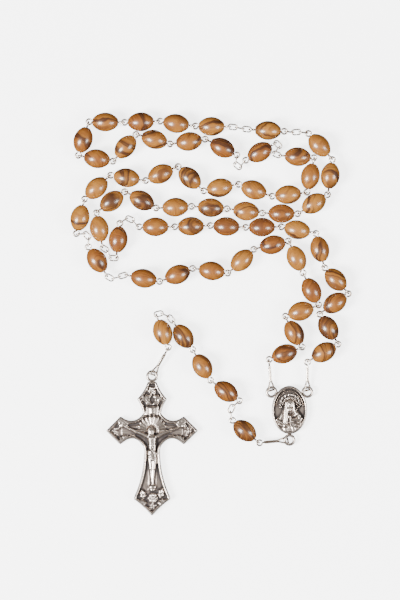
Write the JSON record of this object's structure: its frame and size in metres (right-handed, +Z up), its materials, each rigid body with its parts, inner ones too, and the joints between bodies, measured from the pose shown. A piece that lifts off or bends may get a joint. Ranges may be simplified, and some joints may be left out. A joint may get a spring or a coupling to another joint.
{
  "type": "rosary",
  "caption": "Five-decade rosary laid down in a doubled strand: oval wood beads on wire eye pins, fine chain, an oval centre medal and a flared crucifix on a short pendant strand.",
  "frame": {"origin": "centre of the medal's flat back, on the surface the rosary lies on", "axes": "+Z up off that surface, +Y from the medal towards the laid loop, +X to the right as seen from above"},
  "size_m": [0.0879, 0.1263, 0.006],
  "materials": {
    "olive_wood": "polished",
    "silver_wire": "bright",
    "antique_silver": "antiqued"
  },
  "bodies": {
    "laid_loop": {"between_decades_pins": "silver_wire", "between_decades_links_1": "silver_wire", "between_decades_links_2": "silver_wire", "between_decades_links_3": "silver_wire", "between_decades_links_4": "silver_wire", "decade_1_beads": "olive_wood", "decade_2_beads": "olive_wood", "decade_3_beads": "olive_wood", "decade_4_beads": "olive_wood", "decade_5_beads": "olive_wood", "decade_1_pins": "silver_wire", "decade_2_pins": "silver_wire", "decade_3_pins": "silver_wire", "decade_4_pins": "silver_wire", "decade_5_pins": "silver_wire"},
    "between_decades_bead_1": {"between_decades_bead_1": "olive_wood"},
    "between_decades_bead_2": {"between_decades_bead_2": "olive_wood"},
    "between_decades_bead_3": {"between_decades_bead_3": "olive_wood"},
    "between_decades_bead_4": {"between_decades_bead_4": "olive_wood"},
    "neck_strands": {"neck_pins": "silver_wire"},
    "bight": {"bight_pins": "silver_wire"},
    "bight_tip": {"tip_pins": "silver_wire"},
    "loop_bead_1": {"loop_bead_1": "olive_wood"},
    "loop_bead_2": {"loop_bead_2": "olive_wood"},
    "loop_bead_3": {"loop_bead_3": "olive_wood"},
    "loop_bead_4": {"loop_bead_4": "olive_wood"},
    "loop_bead_25": {"loop_bead_25": "olive_wood"},
    "loop_bead_26": {"loop_bead_26": "olive_wood"},
    "loop_bead_27": {"loop_bead_27": "olive_wood"},
    "loop_bead_28": {"loop_bead_28": "olive_wood"},
    "loop_bead_29": {"loop_bead_29": "olive_wood"},
    "loop_bead_30": {"loop_bead_30": "olive_wood"},
    "loop_bead_51": {"loop_bead_51": "olive_wood"},
    "loop_bead_52": {"loop_bead_52": "olive_wood"},
    "loop_bead_53": {"loop_bead_53": "olive_wood"},
    "loop_bead_54": {"loop_bead_54": "olive_wood"},
    "loop_connectors": {"right_connector": "silver_wire", "left_connector": "silver_wire"},
    "medal": {"medal": "antique_silver"},
    "pendant_pin_1": {"pendant_pin_1": "silver_wire"},
    "pendant_link_1": {"pendant_link_1": "silver_wire"},
    "pendant_link_2": {"pendant_link_2": "silver_wire"},
    "pendant_link_3": {"pendant_link_3": "silver_wire"},
    "pendant_pin_2": {"pendant_pin_2": "silver_wire"},
    "pendant_pin_3": {"pendant_pin_3": "silver_wire"},
    "pendant_pin_4": {"pendant_pin_4": "silver_wire"},
    "pendant_link_4": {"pendant_link_4": "silver_wire"},
    "pendant_link_5": {"pendant_link_5": "silver_wire"},
    "pendant_link_6": {"pendant_link_6": "silver_wire"},
    "pendant_pin_5": {"pendant_pin_5": "silver_wire"},
    "pendant_bead_1": {"pendant_bead_1": "olive_wood"},
    "pendant_bead_2": {"pendant_bead_2": "olive_wood"},
    "pendant_bead_3": {"pendant_bead_3": "olive_wood"},
    "pendant_bead_4": {"pendant_bead_4": "olive_wood"},
    "pendant_bead_5": {"pendant_bead_5": "olive_wood"},
    "pendant_connector": {"pendant_connector": "silver_wire"},
    "crucifix_connector": {"crucifix_connector": "silver_wire"},
    "crucifix": {"crucifix": "antique_silver"}
  },
  "joints": [
    {"name": "neck_fold", "type": "hinge", "parent": "laid_loop", "child": "neck_strands", "pos_m": [0.01038, 0.04509, 0.003], "axis": [-0.8879, -0.46, 0], "range_deg": [0, 40]},
    {"name": "bight_fold", "type": "hinge", "parent": "laid_loop", "child": "bight", "pos_m": [-0.0413, 0.09039, 0.003], "axis": [-0.5323, 0.8466, 0], "range_deg": [0, 60]},
    {"name": "tip_fold", "type": "hinge", "parent": "bight", "child": "bight_tip", "pos_m": [-0.0635, 0.09012, 0.003], "axis": [-0.5898, 0.8076, 0], "range_deg": [0, 60]},
    {"name": "connectors_fold", "type": "hinge", "parent": "neck_strands", "child": "loop_connectors", "pos_m": [0.0056, 0.01583, 0.003], "axis": [-0.9998, -0.0218, 0], "range_deg": [0, 25]},
    {"name": "medal_fold", "type": "hinge", "parent": "loop_connectors", "child": "medal", "pos_m": [0.0056, 0.00615, 0.00147], "axis": [-1, -0.0002, 0], "range_deg": [0, 15]},
    {"name": "loop_bead_1_spin", "type": "hinge", "parent": "neck_strands", "child": "loop_bead_1", "pos_m": [0.01071, 0.01808, 0.003], "axis": [0.866, 0.5, 0], "continuous": true},
    {"name": "loop_bead_2_spin", "type": "hinge", "parent": "neck_strands", "child": "loop_bead_2", "pos_m": [0.01209, 0.02568, 0.003], "axis": [-0.5299, 0.848, 0], "continuous": true},
    {"name": "loop_bead_3_spin", "type": "hinge", "parent": "neck_strands", "child": "loop_bead_3", "pos_m": [0.01416, 0.03348, 0.003], "axis": [0.8192, 0.5736, 0], "continuous": true},
    {"name": "loop_bead_4_spin", "type": "hinge", "parent": "neck_strands", "child": "loop_bead_4", "pos_m": [0.0144, 0.04077, 0.003], "axis": [-0.682, 0.7314, 0], "continuous": true},
    {"name": "loop_bead_51_spin", "type": "hinge", "parent": "neck_strands", "child": "loop_bead_51", "pos_m": [0.00683, 0.0374, 0.003], "axis": [-0.4384, 0.8988, 0], "continuous": true},
    {"name": "loop_bead_52_spin", "type": "hinge", "parent": "neck_strands", "child": "loop_bead_52", "pos_m": [0.0035, 0.0309, 0.003], "axis": [0.9511, 0.309, 0], "continuous": true},
    {"name": "loop_bead_53_spin", "type": "hinge", "parent": "neck_strands", "child": "loop_bead_53", "pos_m": [0.00142, 0.02414, 0.003], "axis": [-0.4848, 0.8746, 0], "continuous": true},
    {"name": "loop_bead_54_spin", "type": "hinge", "parent": "neck_strands", "child": "loop_bead_54", "pos_m": [-0.00161, 0.01757, 0.003], "axis": [0.9397, 0.342, 0], "continuous": true},
    {"name": "loop_bead_25_spin", "type": "hinge", "parent": "bight", "child": "loop_bead_25", "pos_m": [-0.04651, 0.09009, 0.003], "axis": [-0.9994, -0.0349, 0], "continuous": true},
    {"name": "loop_bead_26_spin", "type": "hinge", "parent": "bight", "child": "loop_bead_26", "pos_m": [-0.0576, 0.09001, 0.003], "axis": [-0.9998, 0.0175, 0], "continuous": true},
    {"name": "loop_bead_29_spin", "type": "hinge", "parent": "bight", "child": "loop_bead_29", "pos_m": [-0.05128, 0.08226, 0.003], "axis": [0.6443, 0.7648, 0], "continuous": true},
    {"name": "loop_bead_30_spin", "type": "hinge", "parent": "bight", "child": "loop_bead_30", "pos_m": [-0.04227, 0.08458, 0.003], "axis": [-0.9597, 0.281, 0], "continuous": true},
    {"name": "loop_bead_27_spin", "type": "hinge", "parent": "bight_tip", "child": "loop_bead_27", "pos_m": [-0.06453, 0.08446, 0.003], "axis": [-0.2924, -0.9563, 0], "continuous": true},
    {"name": "loop_bead_28_spin", "type": "hinge", "parent": "bight_tip", "child": "loop_bead_28", "pos_m": [-0.06022, 0.07857, 0.003], "axis": [0.9877, -0.1564, 0], "continuous": true},
    {"name": "between_decades_bead_1_spin", "type": "hinge", "parent": "laid_loop", "child": "between_decades_bead_1", "pos_m": [-0.05357, 0.05334, 0.003], "axis": [-0.1045, -0.9945, 0], "continuous": true},
    {"name": "between_decades_bead_2_spin", "type": "hinge", "parent": "laid_loop", "child": "between_decades_bead_2", "pos_m": [-0.00673, 0.08738, 0.003], "axis": [-0.9986, 0.0523, 0], "continuous": true},
    {"name": "between_decades_bead_3_spin", "type": "hinge", "parent": "laid_loop", "child": "between_decades_bead_3", "pos_m": [-0.0093, 0.0806, 0.003], "axis": [-0.866, -0.5, 0], "continuous": true},
    {"name": "between_decades_bead_4_spin", "type": "hinge", "parent": "laid_loop", "child": "between_decades_bead_4", "pos_m": [-0.06016, 0.04676, 0.003], "axis": [-0.5446, 0.8387, 0], "continuous": true},
    {"name": "pendant_connector_lift", "type": "hinge", "parent": "medal", "child": "pendant_connector", "pos_m": [-0.00055, -0.00945, 0.00147], "axis": [-0.0872, 0.9962, 0], "range_deg": [0, 17]},
    {"name": "pendant_pin_1_swing", "type": "hinge", "parent": "pendant_connector", "child": "pendant_pin_1", "pos_m": [-0.00949, -0.01023, 0.003], "axis": [0, 0, 1], "range_deg": [-15, 15]},
    {"name": "pendant_link_1_lift", "type": "hinge", "parent": "pendant_pin_1", "child": "pendant_link_1", "pos_m": [-0.01853, -0.00265, 0.003], "axis": [0.6428, 0.766, 0], "range_deg": [0, 20]},
    {"name": "pendant_link_2_swing", "type": "hinge", "parent": "pendant_link_1", "child": "pendant_link_2", "pos_m": [-0.01853, -0.0003, 0.003], "axis": [0, 0, -1], "range_deg": [-15, 15]},
    {"name": "pendant_link_3_lift", "type": "hinge", "parent": "pendant_link_2", "child": "pendant_link_3", "pos_m": [-0.01759, 0.00171, 0.003], "axis": [0.9063, -0.4226, 0], "range_deg": [0, 10]},
    {"name": "pendant_pin_2_swing", "type": "hinge", "parent": "pendant_link_3", "child": "pendant_pin_2", "pos_m": [-0.01554, 0.00279, 0.003], "axis": [0, 0, 1], "range_deg": [-15, 8]},
    {"name": "pendant_pin_3_lift", "type": "hinge", "parent": "pendant_pin_2", "child": "pendant_pin_3", "pos_m": [-0.02433, 0.00859, 0.003], "axis": [0.866, 0.5, 0], "range_deg": [0, 15]},
    {"name": "pendant_pin_4_swing", "type": "hinge", "parent": "pendant_pin_3", "child": "pendant_pin_4", "pos_m": [-0.03023, 0.01881, 0.003], "axis": [0, 0, -1], "range_deg": [-15, 15]},
    {"name": "pendant_link_4_lift", "type": "hinge", "parent": "pendant_pin_4", "child": "pendant_link_4", "pos_m": [-0.03619, 0.02741, 0.003], "axis": [0.766, 0.6428, 0], "range_deg": [0, 10]},
    {"name": "pendant_link_5_swing", "type": "hinge", "parent": "pendant_link_4", "child": "pendant_link_5", "pos_m": [-0.03762, 0.02911, 0.003], "axis": [0, 0, 1], "range_deg": [-15, 0]},
    {"name": "pendant_link_6_lift", "type": "hinge", "parent": "pendant_link_5", "child": "pendant_link_6", "pos_m": [-0.03959, 0.03044, 0.003], "axis": [-0.2588, 0.9659, 0], "range_deg": [0, 10]},
    {"name": "pendant_pin_5_swing", "type": "hinge", "parent": "pendant_link_6", "child": "pendant_pin_5", "pos_m": [-0.04168, 0.02988, 0.003], "axis": [0, 0, -1], "range_deg": [0, 15]},
    {"name": "crucifix_connector_lift", "type": "hinge", "parent": "pendant_pin_5", "child": "crucifix_connector", "pos_m": [-0.03764, 0.0188, 0.003], "axis": [-0.9397, -0.342, 0], "range_deg": [0, 15]},
    {"name": "crucifix_lift", "type": "hinge", "parent": "crucifix_connector", "child": "crucifix", "pos_m": [-0.04272, 0.01107, 0.00147], "axis": [-0.866, 0.5, 0], "range_deg": [0, 20]},
    {"name": "pendant_bead_1_spin", "type": "hinge", "parent": "pendant_pin_1", "child": "pendant_bead_1", "pos_m": [-0.01401, -0.00644, 0.003], "axis": [-0.766, 0.6428, 0], "continuous": true},
    {"name": "pendant_bead_2_spin", "type": "hinge", "parent": "pendant_pin_2", "child": "pendant_bead_2", "pos_m": [-0.01985, 0.00581, 0.003], "axis": [-0.8192, 0.5736, 0], "continuous": true},
    {"name": "pendant_bead_3_spin", "type": "hinge", "parent": "pendant_pin_3", "child": "pendant_bead_3", "pos_m": [-0.02728, 0.0137, 0.003], "axis": [-0.5, 0.866, 0], "continuous": true},
    {"name": "pendant_bead_4_spin", "type": "hinge", "parent": "pendant_pin_4", "child": "pendant_bead_4", "pos_m": [-0.03322, 0.02307, 0.003], "axis": [-0.5736, 0.8192, 0], "continuous": true},
    {"name": "pendant_bead_5_spin", "type": "hinge", "parent": "pendant_pin_5", "child": "pendant_bead_5", "pos_m": [-0.03966, 0.02434, 0.003], "axis": [0.342, -0.9397, 0], "continuous": true}
  ]
}
